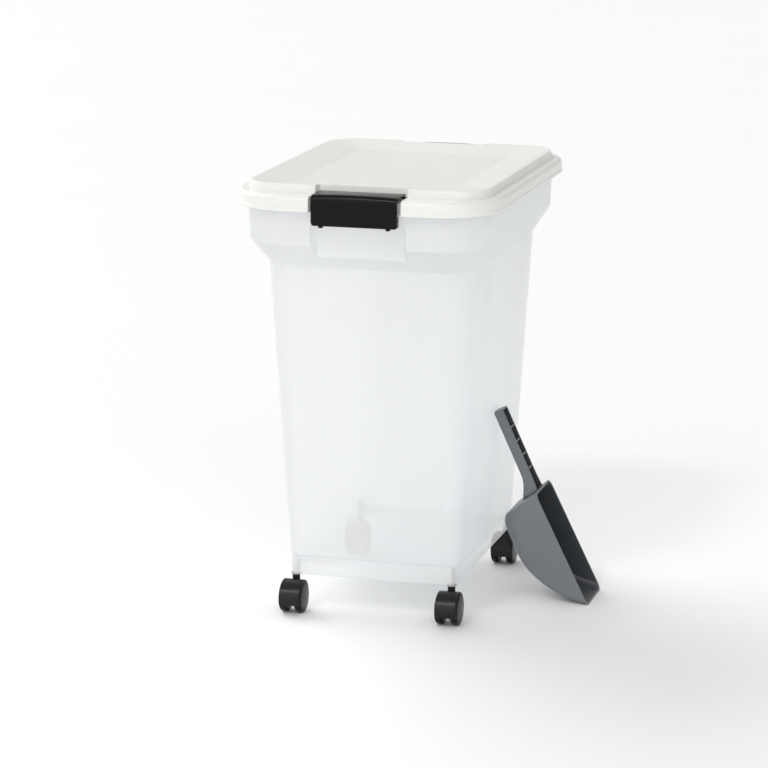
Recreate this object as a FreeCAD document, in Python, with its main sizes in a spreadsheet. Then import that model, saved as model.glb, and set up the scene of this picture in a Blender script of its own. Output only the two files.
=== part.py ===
"""Rolling pet food bin: a tapered tub on four twin wheel casters, a deep lid held by
a latch at each end, and a feed scoop that leans against the tub's right wall.

X is the bin's width, Y its depth with the front end at -Y, and Z points up.
The origin is on the floor, under the middle of the tub. Lengths are millimetres.
"""
import FreeCAD, Part
import math
import os

import Sketcher
from FreeCAD import Placement, Rotation, Vector

DIMENSIONS = {
    # overall
    "lid_width": 343,
    "lid_depth": 470,
    "total_height": 564,
    # lid
    "lid_corner": 80,
    "lid_wall": 3,
    "skirt_drop": 29,
    "tier_drop": 10,
    "shoulder_round": 6,
    "deck_side": 13,
    "deck_end": 31,
    "deck_lean": 3,
    "deck_corner": 46,
    "crest_width": 5,
    "panel_side": 65,
    "panel_end": 85,
    "panel_corner": 12,
    "dish_depth": 7,
    "seal_thick": 4,
    "seal_width": 5.5,
    "seal_seat_width": 7,
    # tub
    "tub_wall": 2.6,
    "rim_inset": 13,
    "rim_drop": 21,
    "rim_gap": 0.6,
    "rim_wall": 4,
    "collar_inset": 15,
    "collar_drop": 74,
    "slope_drop": 106,
    "body_top_x": 137,
    "body_top_y": 185,
    "body_top_corner": 45,
    "body_foot_x": 112,
    "body_foot_y": 158,
    "body_foot_corner": 18,
    "base_height": 25,
    "base_step": 2,
    "floor_rise": 14,
    "floor_thick": 3,
    # finger bay under each latch, and the ledge that the latch hooks under
    "bay_depth": 17,
    "bay_drop": 47,
    "ledge_half": 50,
    "ledge_thick": 4,
    "ledge_reach": 5.2,
    "ledge_root": 0.5,
    # latches
    "latch_half": 55,
    "latch_thick": 3,
    "latch_proud": 2,
    "latch_drop": 45,
    "latch_gap": 3,
    "latch_bend": 7,
    "pivot_back": 38,
    "pivot_drop": 10,
    "pin_radius": 2,
    "barrel_radius": 3.2,
    "notch_back": 45,
    "notch_drop": 14,
    "cheek_thick": 3.5,
    "cheek_height": 14,
    "cheek_depth": 11,
    "hook_centre": 43,
    "hook_width": 10,
    "hook_thick": 3.4,
    "hook_gap": 0.4,
    "hook_lap": 1,
    # casters
    "stem_x": 103.5,
    "stem_y": 149,
    "stem_radius": 3,
    "stem_depth": 21,
    "socket_radius": 5.5,
    "socket_roof": 2.5,
    "trail": 12,
    "wheel_radius": 20,
    "wheel_width": 10.7,
    "wheel_round": 2.5,
    "hub_radius": 13,
    "hub_recess": 1.4,
    "axle_radius": 2.5,
    "hood_wall": 2,
    "hood_gap": 0.6,
    "yoke_width": 10,
    "yoke_drop": 7,
    "caster_neck": 6.4,
    "flange_radius": 6.5,
    "flange_thick": 1.4,
    # scoop
    "scoop_lean": 65.3,
    "scoop_y": 5,
    "scoop_length": 277,
    "scoop_width": 84,
    "scoop_wall": 2.4,
    "scoop_back": 115,
    "scoop_depth": 54,
    "scoop_flat": 190,
    "scoop_round": 12,
    "scoop_rim": 4,
    "scoop_tip": 8,
    "handle_width": 24,
    "handle_depth": 13,
    "handle_wall": 2.2,
    "handle_round": 4,
    "rib_start": 27,
    "rib_pitch": 19.5,
    "rib_thick": 2,
    # fits
    "running": 0.05,
    "snug": 0.02,
    "clearance": 0.3,
    "overcut": 2,
}
# Places that follow other dimensions, as formulas that the sheet works out itself.
DERIVED = {
    "notch_half": "latch_half + latch_gap",
    "bay_half": "latch_half + latch_gap",
    "latch_foot": "total_height - latch_drop",
    "bay_top": "total_height - bay_drop",
    "collar_foot": "total_height - collar_drop",
    "slope_foot": "total_height - slope_drop",
    "base_foot": "2 * wheel_radius + hood_gap + hood_wall + caster_neck",
    "body_foot": "base_foot + base_height",
    "floor_top": "base_foot + floor_rise",
}
RIB_COUNT = 4
FRONT = -1
REAR = 1

document = FreeCAD.newDocument("pet_food_bin")
sheet = document.addObject("Spreadsheet::Sheet", "dims")
CELLS = {alias: str(value) for alias, value in DIMENSIONS.items()}
CELLS.update({alias: "=" + formula for alias, formula in DERIVED.items()})
for row, (alias, content) in enumerate(CELLS.items(), start=1):
    sheet.set("A%d" % row, alias)
    sheet.set("B%d" % row, content)
    sheet.setAlias("B%d" % row, alias)
document.recompute()


def full(expression):
    """Write an expression's dimension names as references to the sheet."""
    words = []
    name = ""
    for letter in expression + " ":
        if letter.isalnum() or letter in "_.":
            name += letter
            continue
        if name:
            words.append("dims." + name if name in CELLS else name)
            name = ""
        words.append(letter)
    return "".join(words).strip()


def evaluate(expression):
    """The value of an expression, for a sketch's first guess and for edge searches."""
    result = sheet.evalExpression(full(expression))
    return float(getattr(result, "Value", result))


def bind(thing, **formulas):
    """Bind properties, whose names may hold __ for a dot, to formulas of the sheet."""
    for name, expression in formulas.items():
        thing.setExpression(name.replace("__", "."), full(expression))


# Heights and half sizes that several pieces share, as formulas of the sheet.
TIER_TOP = "(total_height - tier_drop)"
SKIRT_FOOT = "(total_height - skirt_drop)"
RIM_TOP = "(total_height - rim_drop)"
NOTCH_FLOOR = "(total_height - notch_drop)"
SEAL_TOP = "(total_height - rim_drop + seal_thick)"
PIVOT_Y = "(lid_depth / 2 - pivot_back)"
PIVOT_Z = "(total_height - pivot_drop)"
PLATE_FACE = "(lid_depth / 2 + latch_proud)"
GUIDE_INSET = "(rim_inset - rim_gap - lid_wall)"
DRAFT = "((body_top_x - body_foot_x) / (slope_foot - body_foot))"
LEDGE_FACE = "(lid_depth / 2 - ledge_reach)"
HOOD_RADIUS = "(wheel_radius + hood_gap + hood_wall)"
HOUSING_TOP = "(base_foot - flange_thick - clearance)"


def plane_of(body, role):
    """The body's own origin plane of that role."""
    for feature in body.Origin.OriginFeatures:
        if feature.Role == role:
            return feature
    raise ValueError("no plane " + role)


def new_body(label):
    body = document.addObject("PartDesign::Body", label)
    body.Label = label
    return body


def new_sketch(body, name, role="XY_Plane", height="0"):
    """A sketch on one of the body's origin planes, lifted off it by a formula."""
    sketch = body.newObject("Sketcher::SketchObject", name)
    sketch.AttachmentSupport = [(plane_of(body, role), "")]
    sketch.MapMode = "FlatFace"
    if height != "0":
        bind(sketch, AttachmentOffset__Base__z=height)
    return sketch


def draw_rounded(sketch, half_x, half_y, corner):
    """A rectangle about the sketch's origin with four equal rounded corners."""
    wide = evaluate(half_x)
    deep = evaluate(half_y)
    radius = evaluate(corner)
    inner_x = wide - radius
    inner_y = deep - radius
    quarter = math.pi / 2
    up = Vector(0, 0, 1)

    def point(x, y):
        return Vector(x, y, 0)

    def arc(x, y, turn):
        circle = Part.Circle(point(x, y), up, radius)
        return Part.ArcOfCircle(circle, turn * quarter, (turn + 1) * quarter)

    sketch.addGeometry([
        Part.LineSegment(point(-inner_x, -deep), point(inner_x, -deep)),
        Part.LineSegment(point(wide, -inner_y), point(wide, inner_y)),
        Part.LineSegment(point(inner_x, deep), point(-inner_x, deep)),
        Part.LineSegment(point(-wide, inner_y), point(-wide, -inner_y)),
        arc(inner_x, -inner_y, 3),
        arc(inner_x, inner_y, 0),
        arc(-inner_x, inner_y, 1),
        arc(-inner_x, -inner_y, 2),
    ], False)
    for side in range(4):
        following = (side + 1) % 4
        sketch.addConstraint(Sketcher.Constraint("Tangent", side, 2, side + 4, 1))
        sketch.addConstraint(Sketcher.Constraint("Tangent", side + 4, 2, following, 1))
    sketch.addConstraint(Sketcher.Constraint("Horizontal", 0))
    sketch.addConstraint(Sketcher.Constraint("Vertical", 1))
    sketch.addConstraint(Sketcher.Constraint("Horizontal", 2))
    sketch.addConstraint(Sketcher.Constraint("Vertical", 3))
    for side in range(5, 8):
        sketch.addConstraint(Sketcher.Constraint("Equal", 4, side))
    sketch.addConstraint(Sketcher.Constraint("Symmetric", 4, 3, 6, 3, -1, 1))
    across = sketch.addConstraint(Sketcher.Constraint("DistanceX", 2, 2, 2, 1, 2 * inner_x))
    along = sketch.addConstraint(Sketcher.Constraint("DistanceY", 1, 1, 1, 2, 2 * inner_y))
    round_off = sketch.addConstraint(Sketcher.Constraint("Radius", 4, radius))
    sketch.setExpression("Constraints[%d]" % across, full("2 * (%s - (%s))" % (half_x, corner)))
    sketch.setExpression("Constraints[%d]" % along, full("2 * (%s - (%s))" % (half_y, corner)))
    sketch.setExpression("Constraints[%d]" % round_off, full(corner))


def rounded_sketch(body, name, half_x, half_y, corner, height):
    sketch = new_sketch(body, name, "XY_Plane", height)
    draw_rounded(sketch, half_x, half_y, corner)
    return sketch


def lid_sketch(body, name, inset, height):
    """The lid's outline in plan, drawn in by an inset."""
    return rounded_sketch(body, name, "lid_width / 2 - (%s)" % inset, "lid_depth / 2 - (%s)" % inset,
                          "lid_corner - (%s)" % inset, height)


def draw_polygon(sketch, corners, bulges=None):
    """A closed outline through corners given as pairs of formulas.

    bulges maps the number of a side to how far an arc stands out from it.
    """
    bulges = bulges or {}
    places = [Vector(evaluate(x), evaluate(y), 0) for x, y in corners]
    count = len(places)
    for side, start in enumerate(places):
        end = places[(side + 1) % count]
        if side in bulges:
            chord = end - start
            normal = Vector(chord.y, -chord.x, 0).normalize()
            bulge = evaluate(bulges[side])
            middle = (start + end) * 0.5 + normal * bulge
            # A sketch reads every arc anticlockwise, which an inward one is from its end to its start.
            first, last = (start, end) if bulge > 0 else (end, start)
            sketch.addGeometry(Part.Arc(first, middle, last), False)
        else:
            sketch.addGeometry(Part.LineSegment(start, end), False)
    ends = []
    for side, start in enumerate(places):
        curve = sketch.Geometry[side]
        starts_here = (curve.StartPoint - start).Length < (curve.EndPoint - start).Length
        ends.append((1, 2) if starts_here else (2, 1))
    for side in range(count):
        following = (side + 1) % count
        joint = ("Coincident", side, ends[side][1], following, ends[following][0])
        sketch.addConstraint(Sketcher.Constraint(*joint))
    for side, (x, y) in enumerate(corners):
        for kind, formula, axis in (("DistanceX", x, -2), ("DistanceY", y, -1)):
            value = evaluate(formula)
            if formula == "0":
                sketch.addConstraint(Sketcher.Constraint("PointOnObject", side, ends[side][0], axis))
                continue
            rule = Sketcher.Constraint(kind, -1, 1, side, ends[side][0], value)
            number = sketch.addConstraint(rule)
            sketch.setExpression("Constraints[%d]" % number, full(formula))
    for side in bulges:
        radius = sketch.Geometry[side].Radius
        number = sketch.addConstraint(Sketcher.Constraint("Radius", side, radius))
        start_x, start_y = corners[side]
        end_x, end_y = corners[(side + 1) % count]
        half_chord = "(sqrt((%s - %s) ^ 2 + (%s - %s) ^ 2) / 2)" % (end_x, start_x, end_y, start_y)
        formula = "(%s ^ 2 + (%s) ^ 2) / (2 * abs(%s))" % (half_chord, bulges[side], bulges[side])
        sketch.setExpression("Constraints[%d]" % number, full(formula))


def polygon_sketch(body, name, role, corners, bulges=None, height="0"):
    sketch = new_sketch(body, name, role, height)
    draw_polygon(sketch, corners, bulges)
    return sketch


def pad(body, name, sketch, length, midplane=False):
    feature = body.newObject("PartDesign::Pad", name)
    feature.Profile = sketch
    feature.Midplane = midplane
    bind(feature, Length=length)
    return feature


def loft(body, name, kind, sketches):
    """A ruled loft, AdditiveLoft or SubtractiveLoft, through sketches in order."""
    feature = body.newObject("PartDesign::" + kind, name)
    feature.Profile = sketches[0]
    feature.Sections = sketches[1:]
    feature.Ruled = True
    return feature


def round_edges(body, name, feature, radius, chosen):
    """Fillet the edges of a feature for which chosen(edge) is true."""
    document.recompute()
    edges = ["Edge%d" % number for number, edge in enumerate(feature.Shape.Edges, start=1) if chosen(edge)]
    fillet = body.newObject("PartDesign::Fillet", name)
    fillet.Base = (feature, edges)
    bind(fillet, Radius=radius)
    return fillet


def at_height(expression):
    """A test for edges that lie flat at a height."""
    height = evaluate(expression)

    def chosen(edge):
        box = edge.BoundBox
        return abs(box.ZMin - height) < 0.01 and abs(box.ZMax - height) < 0.01
    return chosen


def block(name, x_low, y_low, z_low, size_x, size_y, size_z):
    """A box by its lowest corner and its size."""
    box = document.addObject("Part::Box", name)
    bind(box, Length=size_x, Width=size_y, Height=size_z, Placement__Base__x=x_low,
         Placement__Base__y=y_low, Placement__Base__z=z_low)
    return box


def rod(name, radius, length, axis, x_from, y_from, z_from):
    """A cylinder from a start point along the X or Z axis."""
    cylinder = document.addObject("Part::Cylinder", name)
    if axis == "X":
        cylinder.Placement = Placement(Vector(), Rotation(Vector(0, 1, 0), 90))
    bind(cylinder, Radius=radius, Height=length, Placement__Base__x=x_from,
         Placement__Base__y=y_from, Placement__Base__z=z_from)
    return cylinder


def end_block(name, end, half_x, y_in, y_out, z_low, z_high):
    """A box across one end of the bin, between two distances from the middle."""
    y_low = "-(%s)" % y_out if end == FRONT else y_in
    return block(name, "-(%s)" % half_x, y_low, z_low, "2 * (%s)" % half_x,
                 "%s - (%s)" % (y_out, y_in), "%s - (%s)" % (z_high, z_low))


def cut(name, base, tool):
    result = document.addObject("Part::Cut", name)
    result.Base = base
    result.Tool = tool
    return result


def fuse(name, shapes):
    result = document.addObject("Part::MultiFuse", name)
    result.Shapes = shapes
    return result


def common(name, shapes):
    result = document.addObject("Part::MultiCommon", name)
    result.Shapes = shapes
    return result


def make_ring(label, inset_out, inset_in, z_low, z_high):
    """A ring that follows the lid's outline, between two insets and two heights."""
    ring = new_body(label)
    outline = lid_sketch(ring, label + "_outline", inset_out, z_low)
    pad(ring, label + "_pad", outline, "%s - (%s)" % (z_high, z_low))
    document.recompute()
    hole = lid_sketch(ring, label + "_hole", inset_in, z_high)
    pocket = ring.newObject("PartDesign::Pocket", label + "_pocket")
    pocket.Profile = hole
    pocket.Type = "ThroughAll"
    return ring


# ---- tub ----

def make_tub_outside():
    body = new_body("tub_outside")
    base_x = "body_foot_x - base_step"
    base_y = "body_foot_y - base_step"
    base = rounded_sketch(body, "base_outline", base_x, base_y, "body_foot_corner - base_step", "base_foot")
    pad(body, "base_band", base, "body_foot - base_foot")
    foot = rounded_sketch(body, "body_foot_outline", "body_foot_x", "body_foot_y", "body_foot_corner",
                          "body_foot")
    top = rounded_sketch(body, "body_top_outline", "body_top_x", "body_top_y", "body_top_corner",
                         "slope_foot")
    collar = lid_sketch(body, "collar_outline", "collar_inset", "collar_foot")
    rim = lid_sketch(body, "rim_outline", "rim_inset", RIM_TOP)
    loft(body, "tapered_body", "AdditiveLoft", [foot, top, collar, rim])
    return body


def make_tub_inside():
    """The space inside the tub, which leaves a wall all round and a raised floor."""
    body = new_body("tub_inside")
    base = "body_foot_x - base_step - tub_wall", "body_foot_y - base_step - tub_wall", \
        "body_foot_corner - base_step - tub_wall"
    floor = rounded_sketch(body, "floor_outline", *base, "floor_top")
    step = rounded_sketch(body, "inner_step_outline", *base, "body_foot")
    foot = rounded_sketch(body, "inner_foot_outline", "body_foot_x - tub_wall", "body_foot_y - tub_wall",
                          "body_foot_corner - tub_wall", "body_foot + 3 * tub_wall")
    top = rounded_sketch(body, "inner_top_outline", "body_top_x - tub_wall", "body_top_y - tub_wall",
                         "body_top_corner - tub_wall", "slope_foot + tub_wall / 2")
    collar = lid_sketch(body, "inner_collar_outline", "collar_inset + tub_wall",
                        "collar_foot + tub_wall / 2")
    mouth = lid_sketch(body, "mouth_outline", "rim_inset + rim_wall", RIM_TOP + " + overcut")
    loft(body, "inner_space", "AdditiveLoft", [floor, step, foot, top, collar, mouth])
    return body


def make_tub():
    outside = make_tub_outside()
    inside = make_tub_inside()
    bay_face = "lid_depth / 2 - collar_inset - bay_depth"
    bays = []
    bay_walls = []
    ledges = []
    for end, word in ((FRONT, "front"), (REAR, "rear")):
        bays.append(end_block(word + "_bay", end, "bay_half", bay_face, "lid_depth / 2",
                              "body_foot", "bay_top"))
        bay_walls.append(end_block(word + "_bay_wall", end, "bay_half + tub_wall",
                                   bay_face + " - tub_wall", "lid_depth / 2", "body_foot",
                                   "bay_top + tub_wall"))
        ledge_foot = "latch_foot + hook_lap + clearance"
        ledges.append(end_block(word + "_ledge", end, "ledge_half", "lid_depth / 2 - collar_inset - ledge_root",
                                LEDGE_FACE, ledge_foot, ledge_foot + " + ledge_thick"))
    skin = cut("tub_skin", outside, fuse("bay_spaces", bays))
    space = cut("tub_space", inside, fuse("bay_backs", bay_walls))
    shell = cut("tub_shell", skin, space)
    recess = new_body("underside_recess")
    recess_inset = "base_step - floor_thick"
    outline = rounded_sketch(recess, "recess_outline", "body_foot_x - " + recess_inset,
                             "body_foot_y - " + recess_inset, "body_foot_corner - " + recess_inset,
                             "base_foot - overcut")
    pad(recess, "recess_pad", outline, "floor_top - floor_thick - base_foot + overcut")
    open_base = cut("tub_open_base", shell, recess)
    sockets = []
    bores = []
    for side_x in (-1, 1):
        for side_y in (-1, 1):
            name = "socket_%d_%d" % (side_x + 1, side_y + 1)
            place = "%d * stem_x" % side_x, "%d * stem_y" % side_y, "base_foot"
            sockets.append(rod(name, "socket_radius", "stem_depth + socket_roof", "Z", *place))
            bores.append(rod(name + "_bore", "stem_radius + snug", "stem_depth + snug", "Z", *place))
    tub = cut("bin_tub", fuse("tub_with_fittings", [open_base] + ledges + sockets), fuse("bores", bores))
    tub.Label = "bin_tub"
    return tub


# ---- lid ----

def make_lid_form(prefix, inset, foot):
    """The lid as a solid form: skirt, raised deck and dished top, drawn in by an inset."""
    body = new_body(prefix + "_form")
    skirt = lid_sketch(body, prefix + "_skirt_outline", inset, foot)
    tier = "%s - %s" % (TIER_TOP, inset)
    skirt_pad = pad(body, prefix + "_skirt", skirt, "%s - (%s)" % (tier, foot))
    round_edges(body, prefix + "_shoulder", skirt_pad, "shoulder_round - %s" % inset, at_height(tier))
    half_x = "lid_width / 2 - deck_side - %s" % inset
    half_y = "lid_depth / 2 - deck_end - %s" % inset
    foot_outline = rounded_sketch(body, prefix + "_deck_foot", half_x, half_y,
                                  "deck_corner - %s" % inset, tier)
    top_outline = rounded_sketch(body, prefix + "_deck_top", half_x + " - deck_lean",
                                 half_y + " - deck_lean", "deck_corner - deck_lean - %s" % inset,
                                 "total_height - %s" % inset)
    loft(body, prefix + "_deck", "AdditiveLoft", [foot_outline, top_outline])
    document.recompute()
    dish_outline = rounded_sketch(body, prefix + "_dish_edge",
                                  "lid_width / 2 - deck_side - deck_lean - crest_width",
                                  "lid_depth / 2 - deck_end - deck_lean - crest_width",
                                  "deck_corner - deck_lean - crest_width", "total_height - %s" % inset)
    panel_outline = rounded_sketch(body, prefix + "_panel_edge", "lid_width / 2 - panel_side",
                                   "lid_depth / 2 - panel_end", "panel_corner",
                                   "total_height - dish_depth - %s" % inset)
    loft(body, prefix + "_dish", "SubtractiveLoft", [dish_outline, panel_outline])
    return body


def make_lid():
    """A shell of even wall, with an inner skirt round the tub's rim and a notch at each end."""
    outside = make_lid_form("lid_outer", "0", SKIRT_FOOT)
    inside = make_lid_form("lid_inner", "lid_wall", SKIRT_FOOT + " - overcut")
    shell = cut("lid_shell", outside, inside)
    seat_top = TIER_TOP + " - lid_wall / 2"
    guide = make_ring("rim_guide", GUIDE_INSET, GUIDE_INSET + " + lid_wall", SKIRT_FOOT, seat_top)
    seat = make_ring("seal_seat", GUIDE_INSET + " + lid_wall / 2",
                     GUIDE_INSET + " + lid_wall + seal_seat_width", SEAL_TOP, seat_top)
    liners = []
    notches = []
    pin_holes = []
    guide_face = "lid_depth / 2 - %s" % GUIDE_INSET
    notch_rear = "lid_depth / 2 - notch_back"
    for end, word in ((FRONT, "front"), (REAR, "rear")):
        outer = "notch_half + lid_wall"
        liners.append(end_block(word + "_notch_wall", end, outer, guide_face + " - lid_wall",
                                "lid_depth / 2", SKIRT_FOOT, "total_height"))
        liners.append(end_block(word + "_notch_tray", end, outer, notch_rear + " - lid_wall",
                                "lid_depth / 2", NOTCH_FLOOR + " - lid_wall", "total_height"))
        notches.append(end_block(word + "_skirt_notch", end, "notch_half", guide_face,
                                 "lid_depth / 2 + overcut", SKIRT_FOOT + " - overcut",
                                 "total_height + overcut"))
        notches.append(end_block(word + "_deck_notch", end, "notch_half", notch_rear,
                                 "lid_depth / 2 + overcut", NOTCH_FLOOR, "total_height + overcut"))
        pin_y = "%d * %s" % (end, PIVOT_Y)
        pin_holes.append(rod(word + "_pin_hole", "pin_radius + snug",
                             "2 * (notch_half + lid_wall - snug)", "X",
                             "-(notch_half + lid_wall - snug)", pin_y, PIVOT_Z))
    trays = common("notch_liners", [fuse("notch_blocks", liners), outside])
    whole = fuse("lid_with_seat", [shell, guide, seat, trays])
    lid = cut("lid", whole, fuse("notch_spaces", notches + pin_holes))
    lid.Label = "lid"
    return lid


def make_seal():
    seal = make_ring("lid_gasket", "rim_inset - snug", "rim_inset - snug + seal_width",
                     RIM_TOP, SEAL_TOP)
    return seal


# ---- latches ----

def make_latch(word, turn):
    """A latch drawn for the front end, with its plate at -Y, and turned to its own end."""
    body = new_body(word + "_latch")
    face = "-" + PLATE_FACE
    top = "(%s + barrel_radius)" % PIVOT_Z
    under = "(%s - latch_thick)" % top
    inner_face = "(%s + latch_thick)" % face
    pivot = "(-%s)" % PIVOT_Y
    outline = [
        (pivot, top),
        (face + " + latch_bend", top),
        (face, top + " - latch_bend"),
        (face, "latch_foot"),
        (inner_face, "latch_foot"),
        (inner_face, under + " - latch_bend + latch_thick"),
        (inner_face + " + latch_bend - latch_thick", under),
        (pivot, under),
    ]
    # The two bends are quarter turns, which stand off their chords by this share of a radius.
    quarter_bulge = "(1 - sqrt(0.5))"
    bulges = {1: "latch_bend * %s" % quarter_bulge, 5: "-(latch_bend - latch_thick) * %s" % quarter_bulge}
    profile = polygon_sketch(body, word + "_latch_profile", "YZ_Plane", outline, bulges)
    plate = pad(body, word + "_latch_plate", profile, "2 * latch_half", midplane=True)
    document.recompute()

    def lower_corner(edge):
        box = edge.BoundBox
        return abs(box.ZMax - evaluate("latch_foot")) < 0.01 and box.XLength < 0.01
    round_edges(body, word + "_latch_corners", plate, "latch_bend / 2", lower_corner)
    barrel = rod(word + "_latch_barrel", "barrel_radius", "2 * latch_half", "X", "-latch_half",
                 pivot, PIVOT_Z)
    pieces = [body, barrel]
    for side, side_word in ((-1, "left"), (1, "right")):
        cheek_x = "-latch_half" if side < 0 else "latch_half - cheek_thick"
        pieces.append(block("%s_%s_cheek" % (word, side_word), cheek_x, inner_face + " - 1",
                            "latch_foot + hook_lap", "cheek_thick", "cheek_depth - latch_thick + hook_lap",
                            "cheek_height"))
        hook_x = "%d * hook_centre - hook_width / 2" % side
        reach = "%s - hook_gap - (%s + hook_lap)" % ("-" + LEDGE_FACE, face)
        pieces.append(block("%s_%s_hook" % (word, side_word), hook_x, face + " + hook_lap",
                            "latch_foot + hook_lap - hook_thick", "hook_width", reach, "hook_thick"))
    solid = fuse(word + "_latch_solid", pieces)
    hole = rod(word + "_latch_bore", "pin_radius + running", "2 * latch_half + 2 * overcut", "X",
               "-latch_half - overcut", pivot, PIVOT_Z)
    latch = cut(word + "_latch_bored", solid, hole)
    body.Label = word + "_latch_form"
    latch.Label = word + "_latch"
    latch.Placement = Placement(Vector(), Rotation(Vector(0, 0, 1), turn))
    return latch


def make_latch_pin(word, end):
    pin = rod(word + "_latch_pin", "pin_radius", "2 * (notch_half + lid_wall - 2 * snug - clearance)",
              "X", "-(notch_half + lid_wall - 2 * snug - clearance)", "%d * %s" % (end, PIVOT_Y), PIVOT_Z)
    pin.Label = word + "_latch_pin"
    return pin


# ---- casters ----

def make_stem(name, x, y):
    shank_foot = "base_foot - stem_depth"
    shank = rod(name + "_shank", "stem_radius", "2 * stem_depth", "Z", x, y, shank_foot)
    flange = rod(name + "_flange", "flange_radius", "flange_thick", "Z", x, y, "base_foot - flange_thick")
    stem = fuse(name + "_stem", [shank, flange])
    stem.Label = name + "_stem"
    return stem


def make_hood(name, x, y):
    """The fork between the two wheels, its half round hood and its housing for the stem."""
    axle_y = y + " - trail"
    yoke_x = x + " - yoke_width / 2"
    hood_half = "yoke_width / 2 + clearance + wheel_width"
    drum = rod(name + "_drum", HOOD_RADIUS, "2 * (%s)" % hood_half, "X", "%s - (%s)" % (x, hood_half),
               axle_y, "wheel_radius")
    hollow = rod(name + "_hollow", HOOD_RADIUS + " - hood_wall", "2 * (%s) + 2 * overcut" % hood_half,
                 "X", "%s - (%s) - overcut" % (x, hood_half), axle_y, "wheel_radius")
    upper = block(name + "_upper", "%s - 2 * wheel_radius" % x, "%s - 2 * wheel_radius" % axle_y,
                  "wheel_radius", "4 * wheel_radius", "4 * wheel_radius", "2 * wheel_radius")
    shell = common(name + "_shell", [cut(name + "_tube", drum, hollow), upper])
    disc = rod(name + "_disc", HOOD_RADIUS, "yoke_width", "X", yoke_x, axle_y, "wheel_radius")
    over_floor = block(name + "_over_floor", "%s - wheel_radius" % x, "%s - 2 * wheel_radius" % axle_y,
                       "wheel_radius - yoke_drop", "2 * wheel_radius", "4 * wheel_radius",
                       "2 * wheel_radius")
    yoke = common(name + "_yoke", [disc, over_floor])
    housing = rod(name + "_housing", "yoke_width / 2", HOUSING_TOP + " - wheel_radius", "Z", x, y,
                  "wheel_radius")
    axle_bore = rod(name + "_axle_bore", "axle_radius + snug", "yoke_width + 2 * overcut", "X",
                    yoke_x + " - overcut", axle_y, "wheel_radius")
    stem_bore = rod(name + "_stem_bore", "stem_radius + running", "stem_depth + overcut", "Z", x, y,
                    "base_foot - stem_depth - clearance")
    hood = cut(name + "_hood", fuse(name + "_fork", [shell, yoke, housing]),
               fuse(name + "_bores", [axle_bore, stem_bore]))
    hood.Label = name + "_hood"
    return hood


def make_wheel(label, x, y, side):
    """A wheel turned about its axle, with a shallow recess in its outer face."""
    body = new_body(label)
    bore = "axle_radius + running"
    inner = "yoke_width / 2 + clearance"
    outer = inner + " + wheel_width"
    corners = [
        (inner, bore),
        (inner, "wheel_radius"),
        (outer, "wheel_radius"),
        (outer, "hub_radius"),
        (outer + " - hub_recess", "hub_radius"),
        (outer + " - hub_recess", bore),
    ]
    profile = polygon_sketch(body, label + "_section", "XZ_Plane", corners)
    turned = body.newObject("PartDesign::Revolution", label + "_turned")
    turned.Profile = profile
    turned.ReferenceAxis = (profile, ["H_Axis"])
    turned.Angle = 360

    def tread_edge(edge):
        box = edge.BoundBox
        return box.XLength < 0.01 and abs(box.YLength / 2 - evaluate("wheel_radius")) < 0.1
    round_edges(body, label + "_tread_round", turned, "wheel_round", tread_edge)
    if side < 0:
        body.Placement = Placement(Vector(), Rotation(Vector(0, 0, 1), 180))
    bind(body, Placement__Base__x=x, Placement__Base__y=y + " - trail", Placement__Base__z="wheel_radius")
    return body


def make_caster(name, side_x, side_y):
    x = "%d * stem_x" % side_x
    y = "%d * stem_y" % side_y
    half_axle = "yoke_width / 2 + clearance + wheel_width - hub_recess"
    axle = rod(name + "_axle", "axle_radius", "2 * (%s)" % half_axle, "X", "%s - (%s)" % (x, half_axle),
               y + " - trail", "wheel_radius")
    axle.Label = name + "_axle"
    return [
        make_stem(name, x, y),
        make_hood(name, x, y),
        axle,
        make_wheel(name + "_left_wheel", x, y, -1),
        make_wheel(name + "_right_wheel", x, y, 1),
    ]


# ---- scoop ----

def make_bowl_form(prefix, inset, top):
    """The bowl as a solid form, drawn in by an inset, with its mouth carried up to a height."""
    body = new_body(prefix + "_form")
    lip_x = "scoop_length - 1.5 * %s" % inset
    side = [
        ("scoop_back + %s" % inset, "scoop_rim"),
        ("scoop_back + scoop_depth / 4 + %s" % inset, "%s - scoop_depth" % inset),
        ("scoop_flat", "%s - scoop_depth" % inset),
        (lip_x, "scoop_tip"),
    ]
    if top:
        side += [(lip_x, top), ("scoop_back + %s" % inset, top)]
    profile = polygon_sketch(body, prefix + "_side", "XZ_Plane", side, {2: "scoop_depth / 5"})
    block_of_bowl = pad(body, prefix + "_block", profile, "scoop_width - 2 * %s" % inset, midplane=True)

    def across_bottom(edge):
        """The edges that run across the bowl, below its rim."""
        box = edge.BoundBox
        return box.YLength > 1 and box.ZMax < -1
    round_edges(body, prefix + "_rounds", block_of_bowl, "scoop_round - %s" % inset, across_bottom)
    return body


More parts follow.
